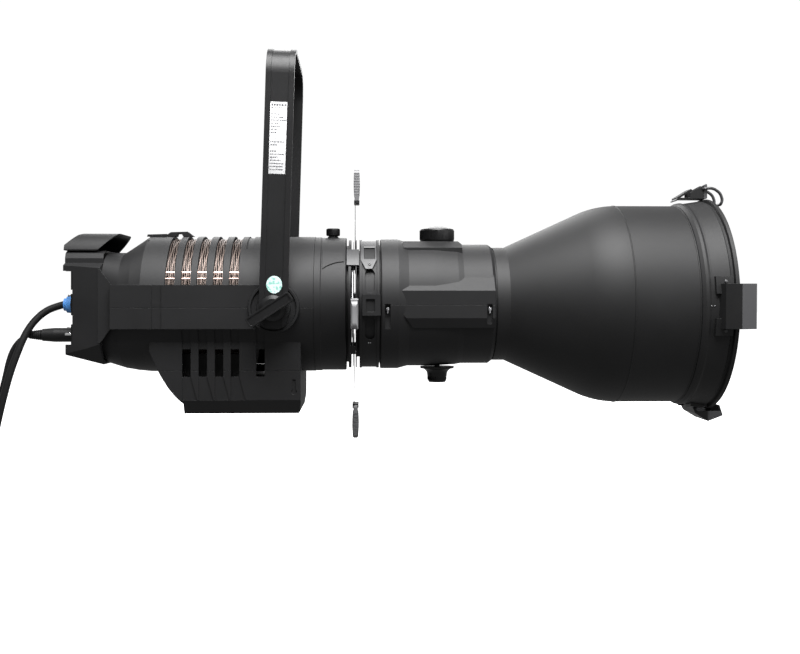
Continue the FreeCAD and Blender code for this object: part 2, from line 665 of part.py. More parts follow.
def make_shutters():
    rear = turned([(101.3, 70), (101.3, 86.5), (104.2, 86.5), (104.2, "shutter_radius"),
                   (107.9, "shutter_radius"), (107.9, "aperture"), (104.2, "aperture"),
                   (104.2, 70)])
    front = turned([(114.3, "aperture"), (114.3, "shutter_radius"), (115.9, "shutter_radius"),
                    (115.9, 79), ("gate_rear", 79), ("gate_rear", 66), (115.9, 66),
                    (115.9, "aperture")])
    corners = []
    for sy in (-1, 1):
        for sz in (-1, 1):
            y = sorted((f"{sy} * 60", f"{sy} * 100"), key=number)
            z = sorted((f"{sz} * 60", f"{sz} * 100"), key=number)
            corners.append(common(rod("x", (107.95, 0, 0), "shutter_radius - 1", 6.3),
                                  block((107, 115), y, z)))
    wide, narrow = (-95, 95), (-59.5, 59.5)
    cross = fuse(block((110, 112), wide, narrow), block((110, 112), narrow, wide))
    separator = common(cross, tube((111, 111.3), 93, 44))
    aperture = tube((124.2, 126.2), 87.6, 39)
    node("shutter_plates", rear, front, *corners, separator, aperture)
    for name, turn in SHUTTER_TURNS.items():
        x = BLADE_PLANES[name]
        sheet_metal = prism("YZ", [("-blade_half", "blade_in"), ("-blade_half", 98), (-17, 124),
                                   (-15, "blade_out"), (15, "blade_out"), (17, 124),
                                   ("blade_half", 98), ("blade_half", "blade_in")],
                            x, f"{x} + blade")
        node(f"shutter_blade_{name}", turn_about_x(sheet_metal, turn))
        start = HANDLE_STARTS[name]
        grip = prism("XZ", [(start + 1.4, "handle_in"), (start + 8.8 - 1.4, "handle_in"),
                            (start + 8.8 - 0.8, 160), (start + 8.8, 185),
                            (start + 8.4, "handle_out - 2"), (start + 7, "handle_out"),
                            (start + 1.8, "handle_out"), (start + 0.4, "handle_out - 2"),
                            (start, 185), (start + 0.8, 160)], "-handle_half", "handle_half")
        near_end, middle, far_end = "handle_out - 8", "handle_out - 2.4", "handle_out"
        rounded = prism("YZ", [("-handle_half + 3", "handle_in"), ("handle_half - 3", "handle_in"),
                               ("handle_half", 153), ("handle_half", near_end),
                               ("handle_half - 2.4", middle, "handle_half - 8", far_end),
                               ("8 - handle_half", far_end),
                               ("2.4 - handle_half", middle, "-handle_half", near_end),
                               ("-handle_half", 153)], 90, 130)
        pocket = block((x - 0.05, f"{x} + blade + 0.05"), (-17.2, 17.2), (140, "blade_out + 0.2"))
        node(f"shutter_handle_{name}", turn_about_x(cut(common(grip, rounded), pocket), turn))


# ---- Gate and lens barrel

def make_gate():
    """The gate's two end plates and the band between them, with its top slot and side pockets."""
    rear_plate = tube(("gate_rear", 123.6), "gate_radius", 66)
    front_plate = turned([(144.9, 84), (144.9, "gate_radius"), ("gate_front", "gate_radius"),
                          ("gate_front", 88), (158, 88), (158, 84)])
    openings = [block((120, 150), (-46, 46), (70, 110))]
    for sign in (-1, 1):
        reach = sorted((f"{sign} * 70", f"{sign} * 110"), key=number)
        for low, high in ((15.6, 49.3), (-50.6, -17)):
            pocket = prism("XZ", [(127.7, low + 7), (134.7, low, 141.8, low + 7),
                                  (141.8, high - 7), (134.7, high, 127.7, high - 7)], *reach)
            openings.append(cut(pocket, rod("x", ("gate_rear", 0, 0), 90.2, 30)))
    band = cut(tube((123.6, 144.9), "gate_radius - 1.2", 88), *openings)
    blocks = []
    for sign in (-1, 1):
        reach = sorted((f"{sign} * 93.6", f"{sign} * 99.5"), key=number)
        window = sorted((f"{sign} * 96.6", f"{sign} * 110"), key=number)
        blocks.append(cut(block((123.8, 149.6), reach, (-16.4, 14)),
                          block((129.1, 141.8), window, (-11, 7))))
    clamps = [cut(b, rod("x", (119, 0, 0), "gate_radius + 0.1", 31)) for b in blocks]
    node("gate_ring", rear_plate, front_plate, band, *clamps)
    clip = common(tube((121.8, 144.4), "gate_radius + 1.8", "gate_radius + 0.1"),
                  prism("XZ", [(121.8, 92), (144.4, 92), (144.4, 63), (138, 50), (128.5, 50),
                               (121.8, 63)], -110, -20))
    window = block((126.4, 142.2), (-110, -10), (64.4, 83))
    node("accessory_clip", cut(clip, window))


def barrel_profile(inset):
    """The barrel's outline: a wide collar, a waist and a long nose."""
    return [("barrel_rear", 95.4 - inset), (152.2, 96.3 - inset), (176.2, 96.3 - inset),
            (190.6, 92.4 - inset), (228, 92.4 - inset), (262, 90.4 - inset),
            (270, 88.8 - inset), (311, 88.8 - inset)]


def make_barrel():
    nose = [("barrel_front", 85.6), ("barrel_front", 84.6), (306, 84.6)]
    bore = [(306, 85.2), (200, 85.2), (186, 88.2), (158.5, 88.2), ("barrel_rear", 88.2)]
    round_shell = turned(barrel_profile(0) + nose + bore)
    saddle = common(
        prism("YZ", [(-30, 92.2), (30, 92.2), (50, 82), (50, 60), (-50, 60), (-50, 82)], 184, 270),
        prism("XZ", [(184, 60), (184, 91), (186.5, 92.2), (264.9, 92.2), (269.6, 87.5), (269.6, 60)],
              -60, 60))
    wings = []
    for sign in (-1, 1):
        reach = sorted((f"{sign} * 60", f"{sign} * 100"), key=number)
        side = prism("XZ", [(179.9, 20.6), (206.9, 41), (312.6, 41), (312.6, -34), (196, -34),
                            (179.9, -12)], *reach)
        edge = prism("YZ", [(sign * 60, 55), (sign * 76, 44), (sign * 93.6, 19), (sign * 93.6, -20),
                            (sign * 84, -42), (sign * 60, -42)], 178, 313.4)
        wings.append(common(side, edge))
    back, forward = "focus_x - focus_back - 4.4", "focus_x + focus_forward + 4.4"
    tools = [turned([(150, 0), (150, 88.2), (186, 88.2), (200, 85.2), (306, 85.2), (306, 84.6),
                     (320, 84.6), (320, 0)]),
             block((back, forward), (-4.4, 4.4), (-120, 120))]
    for sign in (-1, 1):
        reach = sorted((f"{sign} * 89.5", f"{sign} * 110"), key=number)
        tools.append(prism("XZ", [(155.8, 0), (155.8, -41.5), (159.8, -45.5, 163.8, -41.5),
                                  (163.8, 0)], *reach))
        tools.append(prism("XZ", [(300.7, 0), (300.7, -25.5), (304.7, -29.5, 308.7, -25.5),
                                  (308.7, 0)], *reach))
    shell = cut(fuse(round_shell, saddle, *wings), *tools)
    upper = block((140, 330), (-120, 120), ("barrel_seam + 0.12", 120))
    lower = block((140, 330), (-120, 120), (-120, "barrel_seam - 0.12"))
    node("barrel_upper", common(shell, upper))
    node("barrel_lower", common(shell, lower))
    screws = []
    for sign in (-1, 1):
        for x, y in ((159.8, 92.8), (304.7, 92.4)):
            screws.append(turned([(-13, 0), (-13, 1.4), (-9, 1.4), (-9, 2.6), (-5, 2.6), (-5, 0)], "z",
                                 (x, sign * y, 0)))
    node("barrel_screws", *screws)


def make_focus_knobs():
    node("focus_knob", turned([(80, 0), (80, "focus_stem"), (92.6, "focus_stem"), (92.6, 22),
                               (93.6, 25), (96, 25.5), (109.5, 25.5), (111.6, 24.4),
                               (113.4, 19), (115.4, 10), (115.4, 0)], "z", ("focus_x", 0, 0)))
    node("lower_focus_knob", turned([(80, 0), (80, "focus_stem"), (93.7, "focus_stem"), (93.7, 25.4),
                                     (96.4, 25), (99.2, 17.6, 103, 15.2), (114.6, 13.6),
                                     (117, 12.4), (117, 0)], "-z", ("focus_x", 0, 0)))


# ---- Lens tube and hood

def make_lens_tube():
    shell = tube(("tube_rear", 334), "tube_radius", "tube_radius - 2.4")
    holes = [rod("z", ("focus_x", 0, -100), "focus_stem + 0.08", 200)]
    node("lens_tube", cut(shell, *holes))


def make_hood():
    node("hood", turned([(317.5, 84.2), (335.9, 84.2), (446.6, 135),
                         (473.6, 144, 502, "hood_radius"), (592, "hood_radius"),
                         (592, "hood_radius - hood_sheet"), (502, "hood_radius - hood_sheet"),
                         (474.2, 142, 447.4, 133.2), (336.4, 82.1), (317.5, 82.1)]))
    node("front_band", turned([(592.2, 145.4), (592.2, 147.8), (596.6, 151), (600.4, 151.6),
                               (603.4, 150.6), (606.4, 150.8), (630, 154.4), (631.4, 152.6),
                               (635, 152.6), (636.2, 157), ("rim_x - 0.8", "rim_radius"),
                               ("rim_x", "rim_radius - 0.8"), ("rim_x", 149.6), (634, 149.6),
                               (606, 148.4), (600.4, 148.2), (596, 145.4)]))
    node("lenses", convex_lens(250, 79.4, 6, 13), convex_lens("lens_rear", 144.8, 4, 15))


def frame_bracket(turn):
    """A folded channel that holds the edge of a colour frame, with end plates and two riveted feet."""
    outer = [(614, -152.6), (619, -163), (638, -174.5), (660.5, -166), (655.5, -150.6)]
    inner = [(653.9, -151), (658.8, -165.2), (638, -172.8), (620.4, -162.2), (615.9, -152.6)]
    plate = [(618, -159.5), (620.4, -162.6), (638, -173.4), (659, -165.6), (657.5, -159.5)]
    channel = prism("XZ", outer + inner, -31, 31)
    ends = [prism("XZ", plate, *span) for span in ((-31, -29.5), (29.5, 31))]
    feet = []
    for sign in (-1, 1):
        y = sorted((sign * 17, sign * 41))
        ring = tube((608.5, 633), 156.8, "rim_radius - 8")
        feet.append(common(ring, block((608.5, 633), y, (-170, -140))))
    band = turned([(580, 0), (580, 147), (592.2, 147.8), (596.6, 151), (600.4, 151.6),
                   (603.4, 150.6), (606.4, 150.85), (630, 154.45), (631.4, 152.65), (635, 152.65),
                   (635, 0)])
    return turn_about_x(cut(fuse(channel, *ends, *feet), band), turn)


LATCH_X, LATCH_Z, BAIL_WIRE = 636, 172.5, 4.4


def latch_plate():
    cheek = [(616, 158.6), (616.6, 167.1), (622.6, 170.7), (640.5, 180.2), (642.2, 179.2),
             (642.2, 158.6)]
    cheeks = [prism("XZ", cheek, *span) for span in ((-14.5, -13), (13, 14.5))]
    base = block((600, 641), (-14.5, 14.5), (157.9, 159.4))
    stop = block((618, 641), (-13.5, 13.5), (159, 161))
    spring = prism("XZ", [(597, 157.9), (597, 160.2), (617.4, 172.6), (620, 170.6), (600.4, 158.6),
                          (600.4, 157.9)], -14.5, 14.5)
    pin_hole = rod("y", (LATCH_X, -20, LATCH_Z), BAIL_WIRE / 2 + 0.08, 40)
    lip = prism("XZ", [(600, 157.9), (600, 159.4), (597.5, 158.4), (594.5, 155.4), (595.6, 154.4),
                       (598.3, 157)], -14.5, 14.5)
    return cut(fuse(base, stop, lip, spring, *cheeks), pin_hole)


def make_brackets():
    turns = 0, -89, 89
    node("frame_brackets", *[frame_bracket(turn) for turn in turns], latch_plate())
    rivets = []
    for turn in turns:
        for side in (-12.5, 12.5):
            rivet = turned([(156.8, 0), (156.8, 2.8), (157.8, 2.2), (158.3, 0)], "-z", (622.5, 0, 0))
            rivet.Placement.Rotation = rotation((1, 0, 0), turn + side) * FROM_X["-z"]
            rivets.append(rivet)
    node("bracket_rivets", *rivets)


def bent_rod(points, diameter, label):
    """A round rod or lead along straight runs joined by tangent arcs, as large as the runs allow."""
    at = [FreeCAD.Vector(*point) for point in points]
    edges, here, radii = [], at[0], []
    for before, corner, after in zip(at, at[1:], at[2:]):
        arriving, leaving = (corner - before), (after - corner)
        half = arriving.getAngle(leaving) / 2
        reach = 0.45 * min(arriving.Length, leaving.Length)
        radii.append(reach / math.tan(half))
        arriving.normalize()
        leaving.normalize()
        first, last = corner - arriving * reach, corner + leaving * reach
        inward = leaving - arriving
        inward.normalize()
        top = corner + inward * (radii[-1] / math.cos(half) - radii[-1])
        edges += [Part.LineSegment(here, first).toShape(), Part.Arc(first, top, last).toShape()]
        here = last
    edges.append(Part.LineSegment(here, at[-1]).toShape())
    path = Part.Wire(edges)
    ring = Part.Wire(Part.makeCircle(diameter / 2, at[0], at[1] - at[0]))
    solid = path.makePipeShell([ring], True, True)
    expected = math.pi * diameter ** 2 / 4 * path.Length
    print(f"{label}: length {path.Length:.0f} mm, radii {min(radii):.0f} to {max(radii):.0f} mm, "
          f"volume {solid.Volume / expected:.4f} of its section times its length")
    return shaped(label, solid)


def make_latch_bail():
    half = [(LATCH_X, -11, LATCH_Z), (LATCH_X, -17.5, LATCH_Z), (650, -17.5, 173.8),
            (661, -17.5, 166), (664.3, -17.5, 156), (661.8, -17.5, 149)]
    path = half + [(x, -y, z) for x, y, z in reversed(half)]
    node("latch_bail", bent_rod(path, BAIL_WIRE, "bail_wire"))


# ---- Leads

POWER_ROUTE = [(-309.5, -30, -1), (-325, -31, -5.1), (-338.7, -34, -13.4), (-349.8, -38, -24.9),
               (-358.3, -42, -38.5), (-364.5, -46, -53.2), (-370.3, -49, -70.2), (-377.6, -51, -91.4),
               (-385, -52, -117.5), (-394.4, -51, -155), (-403, -49, -194), (-406, -49, -228)]
POWER_TAIL = [(-480, -49, -284), (-502, -49, -293), (-516, -49, -293.5), (-531, -49, -293.5)]
DMX_ROUTE = [(-360.6, -30, -45), (-370, -30.5, -50.3), (-378, -31, -58.7), (-384.5, -31, -70),
             (-389.5, -30.5, -85), (-393.6, -30, -103.5), (-400, -29, -128), (-407, -27, -158),
             (-411, -26, -192), (-412, -25.5, -222)]
DMX_TAIL = [(-466, -26, -257), (-484, -26, -262.5), (-496, -26, -263), (-508, -26, -263)]
POWER_COIL = ((-464, -49, -232), 54, 12.4)
DMX_COIL = ((-452, -26, -224), 37, 9.6)


def coil_solid(centre, mean_radius, bundle):
    """The outer shape of a hanging coil, a ring whose axis is level."""
    return shaped("coil", Part.makeTorus(mean_radius, bundle, FreeCAD.Vector(*centre),
                                         FreeCAD.Vector(0, 1, 0)))


def make_leads():
    plugs = {
        "power_plug": turned([(-309.5, 0), (-309.5, 6), (-308.5, 9), (-304.6, 9.2), (-304, 12),
                              (-297, 12.6), (-296.2, 12.6), (-296.2, 9.6), (-270, 9.6),
                              (-270, 0)], "x", (0, "near_column", "inlet_z")),
        "dmx_plug": turned([(-360.6, 0), (-360.6, 4.2), (-358.6, 5.2), (-341, 7.2), (-339.6, 8.8),
                            (-322, 10.2), (-296.2, 10.2), (-296.2, 9.6), (-270, 9.6), (-270, 0)],
                           "x", (0, "near_column", "dmx_z")),
    }
    for name, route, tail, coil, size in (
            ("power", POWER_ROUTE, POWER_TAIL, POWER_COIL, "power_lead"),
            ("dmx", DMX_ROUTE, DMX_TAIL, DMX_COIL, "dmx_lead")):
        plug = plugs[f"{name}_plug"]
        down = cut(bent_rod(route, number(size), f"{name}_lead"), coil_solid(*coil), plug)
        away = cut(bent_rod(tail, number(size), f"{name}_tail"), coil_solid(*coil))
        node(f"{name}_plug", plug)
        node(f"{name}_cord", down, away)
        node(f"{name}_coil", coil_solid(*coil))
    node("mains_plug", turned([(0, 0), (0, 16.5), (2, 17.5), (20, 16), (26, 9.5), (42, 8.5),
                               (46, 7), (46, 0)], "x", (-577.3, -49, -293.5)))
    node("dmx_end_plug", turned([(0, 0), (0, 9.6), (34, 9.6), (50, 5.4), (52, 4.2), (52, 0)], "x",
                                (-560.3, -26, -263)))


# ---- Closing lines: checks and export

def check_and_export():
    doc.recompute()
    os.makedirs("parts", exist_ok=True)
    failed = [o.Name for o in doc.Objects if {"Invalid", "Error"} & set(o.State)]
    for part in nodes:
        if part.Shape.isNull() or not part.Shape.isValid() or not part.Shape.Solids:
            failed.append(part.Label)
    if failed:
        raise RuntimeError(f"these objects failed: {failed}")
    for part in nodes:
        part.Shape.exportStep(f"parts/{part.Label}.step")


for make in (make_yoke, make_tilt_locks, make_upper_housing, make_lower_housing, make_driver_cover,
             make_rear_cover, make_rear_cowl, make_rear_panel, make_menu_buttons, make_sockets,
             make_light_engine, make_fan, make_driver_unit, make_safety_bridge, make_front_ring,
             make_shutters, make_gate, make_barrel, make_focus_knobs, make_lens_tube, make_hood,
             make_brackets, make_latch_bail, make_leads):
    make()
check_and_export()
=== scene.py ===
"""Looks of the ellipsoidal spotlight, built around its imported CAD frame.

Positions are in the lamp's own coordinates, in millimetres: x runs forward from the tilt axis, z up
from the optical axis and y away from the labelled side. at() turns them into the row frame.
"""

import bmesh
import bpy
import math
import random
from mathutils import Matrix, Vector


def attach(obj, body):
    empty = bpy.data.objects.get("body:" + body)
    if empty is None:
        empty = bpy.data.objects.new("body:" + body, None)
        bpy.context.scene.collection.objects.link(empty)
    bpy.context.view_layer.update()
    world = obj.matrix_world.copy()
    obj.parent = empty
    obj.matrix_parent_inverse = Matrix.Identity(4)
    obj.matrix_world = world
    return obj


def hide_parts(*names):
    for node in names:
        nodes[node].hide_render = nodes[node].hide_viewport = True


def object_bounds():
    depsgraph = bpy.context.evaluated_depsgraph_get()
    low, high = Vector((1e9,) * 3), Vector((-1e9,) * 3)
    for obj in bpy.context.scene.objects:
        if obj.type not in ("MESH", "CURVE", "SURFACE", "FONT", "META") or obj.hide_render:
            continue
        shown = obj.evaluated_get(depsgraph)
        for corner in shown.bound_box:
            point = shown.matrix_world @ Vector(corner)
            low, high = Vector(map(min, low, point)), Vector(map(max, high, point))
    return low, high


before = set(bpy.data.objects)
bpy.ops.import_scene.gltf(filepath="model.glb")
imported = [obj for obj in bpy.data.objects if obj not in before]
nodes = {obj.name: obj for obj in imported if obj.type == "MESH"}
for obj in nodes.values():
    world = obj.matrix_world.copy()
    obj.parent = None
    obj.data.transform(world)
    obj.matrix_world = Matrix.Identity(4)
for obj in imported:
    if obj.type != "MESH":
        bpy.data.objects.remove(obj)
cad_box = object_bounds()
MM = 0.001
PIVOT_X, AXIS_Z = -10.917, -362.34  # the lamp's origin in the row frame
PIVOT_Z = -5.5  # the tilt axis, below the optical axis
YOKE_LEAN = math.radians(1.7)
FOCUS_KNOB_X = 236.3
VENTS = (-146, -123.5, -101.6, -78.9, -56.6)
REAR_FACE = -295.9  # the sockets' flanges
SOCKETS = ((-30, 36), (-30, -1), (-30, -45), (30, -45))
FREE_SOCKETS = (SOCKETS[0], SOCKETS[3])
DATA_PLUG_AXIS = (0, -30, -45)
COLOUR_A, COLOUR_B, COLOUR_OUT = 6, 7, 2  # the Mix node's sockets for colours


def at(x, y, z):
    return Vector(((x + PIVOT_X) * MM, y * MM, (z + AXIS_Z) * MM))


# ---- Materials

def node_tree(name):
    material = bpy.data.materials.new(name)
    material.use_nodes = True
    tree = material.node_tree
    shader = tree.nodes["Principled BSDF"]
    place = tree.nodes.new("ShaderNodeTexCoord").outputs["Object"]
    return material, tree, shader, place


def noise(tree, place, scale, detail=4, stretch=None):
    """A noise texture's value; stretch scales the three axes apart."""
    if stretch:
        mapping = tree.nodes.new("ShaderNodeMapping")
        mapping.inputs["Scale"].default_value = stretch
        tree.links.new(place, mapping.inputs["Vector"])
        place = mapping.outputs["Vector"]
    texture = tree.nodes.new("ShaderNodeTexNoise")
    texture.inputs["Scale"].default_value = scale
    texture.inputs["Detail"].default_value = detail
    tree.links.new(place, texture.inputs["Vector"])
    return texture.outputs["Fac"]


def spread(tree, value, low, high, start=0.35, stop=0.65):
    ramp = tree.nodes.new("ShaderNodeMapRange")
    for socket, number in (("From Min", start), ("From Max", stop),
                           ("To Min", low), ("To Max", high)):
        ramp.inputs[socket].default_value = number
    tree.links.new(value, ramp.inputs["Value"])
    return ramp.outputs["Result"]


def colour_mix(tree, factor, second):
    """A Mix node that goes to its second colour as the factor goes to 1."""
    mix = tree.nodes.new("ShaderNodeMix")
    mix.data_type = "RGBA"
    tree.links.new(factor, mix.inputs["Factor"])
    mix.inputs[COLOUR_B].default_value = (*second, 1)
    return mix


def mixed(tree, factor, first, second):
    mix = colour_mix(tree, factor, second)
    mix.inputs[COLOUR_A].default_value = (*first, 1)
    return mix.outputs[COLOUR_OUT]


def surface(name, colour, rough, metallic=0.0, grain=900, depth=0.05, mottle=0.18, drift=0.06,
            specular=0.5, stretch=None, coat=0.0, edge=0.6):
    """A painted, moulded or machined finish, with softened edges and grain in relief and gloss."""
    material, tree, shader, place = node_tree(name)
    broad = noise(tree, place, 14, 5)
    fine = noise(tree, place, grain, 3, stretch)
    light = [min(1.0, c * (1 + mottle)) for c in colour]
    dark = [c * (1 - mottle) for c in colour]
    tree.links.new(mixed(tree, spread(tree, broad, 0, 1), dark, light), shader.inputs["Base Color"])
    tree.links.new(spread(tree, fine, rough - drift, rough + drift), shader.inputs["Roughness"])
    edges = tree.nodes.new("ShaderNodeBevel")
    edges.samples = 4
    edges.inputs["Radius"].default_value = edge * MM
    bump = tree.nodes.new("ShaderNodeBump")
    tree.links.new(edges.outputs["Normal"], bump.inputs["Normal"])
    bump.inputs["Strength"].default_value = 0.6
    bump.inputs["Distance"].default_value = depth * MM
    tree.links.new(fine, bump.inputs["Height"])
    tree.links.new(bump.outputs["Normal"], shader.inputs["Normal"])
    shader.inputs["Metallic"].default_value = metallic
    shader.inputs["Specular IOR Level"].default_value = specular
    shader.inputs["Coat Weight"].default_value = coat
    shader.inputs["Coat Roughness"].default_value = 0.25
    return material


def glass(name, tint, rough=0.02):
    material, tree, shader, place = node_tree(name)
    tree.links.new(spread(tree, noise(tree, place, 30, 3), rough, rough + 0.03),
                   shader.inputs["Roughness"])
    shader.inputs["Base Color"].default_value = (*tint, 1)
    shader.inputs["Transmission Weight"].default_value = 1
    shader.inputs["IOR"].default_value = 1.5
    return material


def sticker(name, paper, ink, scale, share):
    """Printed paper: blotches of ink that say nothing."""
    material, tree, shader, place = node_tree(name)
    print_marks = spread(tree, noise(tree, place, scale, 2), 0, 1, share, share + 0.03)
    tree.links.new(mixed(tree, print_marks, paper, ink), shader.inputs["Base Color"])
    tree.links.new(spread(tree, noise(tree, place, 60), 0.35, 0.5), shader.inputs["Roughness"])
    return material


def banded(material, low, high, band_colour):
    """The material again, with a band of another colour between two stations along the lamp."""
    tree = material.node_tree
    shader = tree.nodes["Principled BSDF"]
    base = shader.inputs["Base Color"].links[0].from_socket
    parts = tree.nodes.new("ShaderNodeSeparateXYZ")
    tree.links.new(tree.nodes.new("ShaderNodeTexCoord").outputs["Object"], parts.inputs["Vector"])
    middle, half = at((low + high) / 2, 0, 0).x, (high - low) / 2 * MM
    compare = tree.nodes.new("ShaderNodeMath")
    compare.operation = "COMPARE"
    compare.inputs[1].default_value, compare.inputs[2].default_value = middle, half
    tree.links.new(parts.outputs["X"], compare.inputs[0])
    mix = colour_mix(tree, compare.outputs["Value"], band_colour)
    tree.links.new(base, mix.inputs[COLOUR_A])
    tree.links.new(mix.outputs[COLOUR_OUT], shader.inputs["Base Color"])
    return material


BLACK = {name: surface(name, colour, rough, grain=grain, depth=depth, specular=specular)
         for name, colour, rough, grain, depth, specular in (
             ("casting", (0.0045, 0.0045, 0.0048), 0.55, 1500, 0.09, 0.2),
             ("sheet", (0.0045, 0.0045, 0.0047), 0.56, 2200, 0.04, 0.21),
             ("paint", (0.005, 0.005, 0.0053), 0.42, 1300, 0.08, 0.2),
             ("moulding", (0.0055, 0.0055, 0.0058), 0.52, 1800, 0.1, 0.2),
             ("knob", (0.0038, 0.0038, 0.004), 0.4, 1200, 0.06, 0.22),
             ("inside", (0.003, 0.003, 0.003), 0.75, 900, 0.05, 0.1),
             ("rubber", (0.004, 0.004, 0.0042), 0.48, 1000, 0.05, 0.2))}
STEEL = surface("steel", (0.15, 0.15, 0.154), 0.34, 1, 500, 0.02, stretch=(1, 1, 14))
SILVER = surface("silver", (0.75, 0.75, 0.75), 0.25, 1)
SCREW = surface("screw", (0.35, 0.35, 0.36), 0.35, 1)
# The brackets are black; the lighter grey band from x 637.5 to 663 is their forward-facing slope
# painted lit: a painted highlight, not a colour of their own.
BRACKET_WITH_PAINTED_LIT_BAND = banded(surface("bracket", (0.005, 0.005, 0.0052), 0.42, grain=1200, depth=0.06,
                         specular=0.22), 637.5, 663, (0.04, 0.04, 0.042))
BLACK_STEEL = surface("black_steel", (0.018, 0.018, 0.019), 0.36, 0.2, 1200, 0.05)
ALUMINIUM = surface("aluminium", (0.5, 0.49, 0.48), 0.38, 1, 700, 0.03)
COPPER = surface("copper", (0.42, 0.3, 0.26), 0.3, 1, 500, 0.02)
FIN = surface("fin", (0.03, 0.022, 0.018), 0.5, 0.4, 500, 0.05)
FIN_EDGE = surface("fin_edge", (0.13, 0.1, 0.087), 0.42, 0.7, 500, 0.05, edge=0.1)
GRIP = surface("grip", (0.075, 0.075, 0.078), 0.5, grain=900, depth=0.08)
# The near handle's grip is the same grip as the other three, painted lighter on the side that faces
# the light: a painted highlight.
GRIP_PAINTED_LIT = surface("grip_painted_lit", (0.13, 0.13, 0.133), 0.5, grain=900, depth=0.08)
BLOCK_GREY = surface("block_grey", (0.022, 0.022, 0.023), 0.45, specular=0.3)
DRIVER = surface("driver", (0.006, 0.006, 0.006), 0.5, specular=0.2)
PAPER = sticker("paper", (0.45, 0.45, 0.455), (0.3, 0.3, 0.31), 260, 0.62)
MINT = sticker("mint", (0.4, 0.5, 0.49), (0.15, 0.33, 0.28), 330, 0.53)
INK = surface("ink", (0.05, 0.05, 0.055), 0.5, depth=0.0, edge=0.02)
GOLD = surface("gold", (0.75, 0.52, 0.2), 0.25, 1)
LENS = glass("lens", (0.93, 0.96, 0.96))
PANE = surface("pane", (0.004, 0.006, 0.01), 0.08, specular=0.6, depth=0.0, coat=0.5)

# The finish of each CAD node that shows as it is.
NODE_FINISH = {
    "rear_panel": BLACK["inside"], "display_window": PANE, "cooling_fins": FIN,
    "heat_pipes": COPPER, "led_engine": ALUMINIUM, "condenser_lens": LENS,
    "condenser_holder": BLACK["inside"], "driver_unit": DRIVER, "accessory_clip": BLOCK_GREY,
    "barrel_screws": SCREW, "lenses": LENS, "frame_brackets": BRACKET_WITH_PAINTED_LIT_BAND,
    "bracket_rivets": BLACK_STEEL, "latch_bail": BLACK_STEEL, "yoke": BLACK["paint"],
}
BLACK_NODES = {
    "casting": ("pivot_bosses", "upper_housing", "lower_housing", "driver_cover", "safety_bridge",
                "front_ring", "gate_ring", "barrel_upper", "barrel_lower"),
    "sheet": ("shutter_plates", "lens_tube", "hood", "front_band"),
    "moulding": ("rear_cover", "rear_cowl", "power_sockets", "dmx_sockets", "fan_frame"),
    "knob": ("fuse_holder", "fan_rotor", "barrel_lock_knob", "focus_knob", "lower_focus_knob",
             "tilt_knob_near", "tilt_knob_far"),
    "rubber": ("dmx_plug", "mains_plug", "dmx_end_plug"),
}
for kind, names in BLACK_NODES.items():
    NODE_FINISH.update({name: BLACK[kind] for name in names})
for side in ("top", "bottom", "near", "far"):
    NODE_FINISH[f"shutter_blade_{side}"] = STEEL
    NODE_FINISH[f"shutter_handle_{side}"] = GRIP
for number in range(1, 5):
    NODE_FINISH[f"menu_button_{number}"] = GRIP
# The near handle takes the lighter copy of the grip: a painted highlight.
NODE_FINISH["shutter_handle_near"] = GRIP_PAINTED_LIT
BLUE_PLUG = surface("blue_plug", (0.008, 0.008, 0.009), 0.42)
NODE_FINISH["power_plug"] = banded(BLUE_PLUG, -312, -297, (0.05, 0.2, 0.5))

for name, finish in NODE_FINISH.items():
    mesh = nodes[name].data
    mesh.materials.clear()
    mesh.materials.append(finish)


# ---- Building helpers

def piece(name, mesh, finish, body, stands_for=()):
    """A mesh as a piece of the object, riding on a body."""
    mesh.materials.append(finish)
    made = bpy.data.objects.new(name, mesh)
    bpy.context.scene.collection.objects.link(made)
    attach(made, body)
    if stands_for:
        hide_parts(*stands_for)
    return made


def smoothed(mesh, degrees=32):
    mesh.shade_smooth()
    mesh.set_sharp_from_angle(angle=math.radians(degrees))
    return mesh


def mesh_of(name, build):
    """A smooth-shaded mesh made by a function that fills a bmesh, which works in millimetres."""
    form = bmesh.new()
    build(form)
    bmesh.ops.remove_doubles(form, verts=form.verts, dist=0.001)
    bmesh.ops.recalc_face_normals(form, faces=form.faces)
    for vertex in form.verts:
        vertex.co = at(*vertex.co)
    mesh = bpy.data.meshes.new(name)
    form.to_mesh(mesh)
    form.free()
    return smoothed(mesh)


def frame_on(start, axis):
    """The matrix that puts its own x axis along a direction, from a start in millimetres."""
    turn = Vector((1, 0, 0)).rotation_difference(Vector(axis)).to_matrix().to_4x4()
    return Matrix.Translation(Vector(start)) @ turn


def lathe(form, outline, place, steps=48):
    """A closed outline of (along, radius) points, turned about the x axis of a place."""
    rings = []
    for along, radius in outline:
        ring = []
        for step in range(steps):
            angle = 2 * math.pi * step / steps
            local = Vector((along, radius * math.cos(angle), radius * math.sin(angle)))
            ring.append(form.verts.new(place @ local))
        rings.append(ring)
    for first, second in zip(rings, rings[1:] + rings[:1]):
        for i in range(steps):
            j = (i + 1) % steps
            form.faces.new((first[i], first[j], second[j], second[i]))


def bar(form, half, place, corner=0.3):
    """A bar with chamfered edges, by its half sizes."""
    made = bmesh.ops.create_cube(form, size=2)["verts"]
    for vertex in made:
        vertex.co = place @ Vector(h * c for h, c in zip(half, vertex.co))
    edges = {edge for vertex in made for edge in vertex.link_edges}
    bmesh.ops.bevel(form, geom=list(edges), offset=corner, segments=2, affect="EDGES",
                    profile=0.5)


def skin(form, rows):
    """The faces of a bar through four-cornered sections, with both its ends."""
    for first, second in zip(rows, rows[1:]):
        for i in range(4):
            j = (i + 1) % 4
            form.faces.new((first[i], first[j], second[j], second[i]))
    form.faces.new(rows[0])
    form.faces.new(rows[-1])


